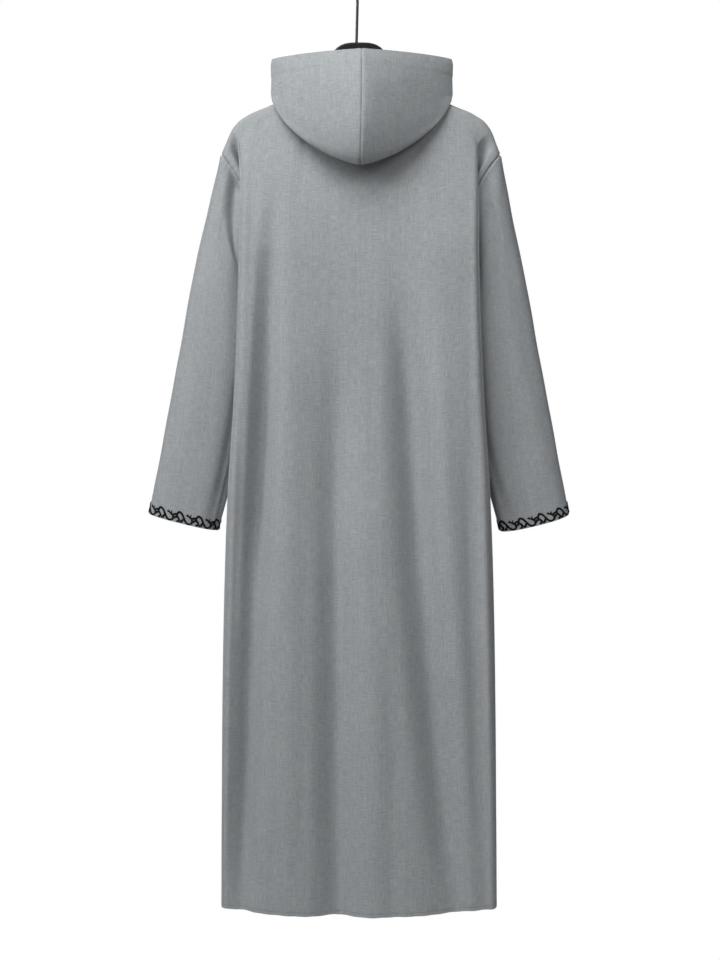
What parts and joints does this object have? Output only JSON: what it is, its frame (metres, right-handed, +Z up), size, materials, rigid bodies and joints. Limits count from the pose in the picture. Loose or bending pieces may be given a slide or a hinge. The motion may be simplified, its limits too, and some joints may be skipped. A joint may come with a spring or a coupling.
{
  "type": "hooded robe on a hanger",
  "caption": "Ankle-length hooded robe of plain woven cloth with long open sleeves and a hood laid down at the back, hanging from a hanger with a hook.",
  "frame": {"origin": "inside top of the hanger's hook, where it rests on a rail", "axes": "+Z up, +Y out of the robe's back, -Y out of its front, +X towards the wearer's left"},
  "size_m": [0.7476, 0.2179, 1.6658],
  "materials": {
    "back_panel_cloth": "matt slubby plain weave, heathered grey",
    "front_panel_cloth": "matt slubby plain weave, heathered grey",
    "sleeve_left_cloth": "matt slubby plain weave, heathered grey, embroidered cuff",
    "sleeve_right_cloth": "matt slubby plain weave, heathered grey, embroidered cuff",
    "hood_left_cloth": "matt slubby plain weave, heathered grey",
    "hood_right_cloth": "matt slubby plain weave, heathered grey",
    "hanger_plastic": "moulded black, satin",
    "hook_metal": "black plated wire"
  },
  "bodies": {
    "root": {"back_panel": "back_panel_cloth", "front_panel": "front_panel_cloth", "sleeve_left": "sleeve_left_cloth", "sleeve_right": "sleeve_right_cloth", "hood_left": "hood_left_cloth", "hood_right": "hood_right_cloth", "hanger_body": "hanger_plastic", "hanger_hook": "hook_metal"}
  },
  "joints": []
}
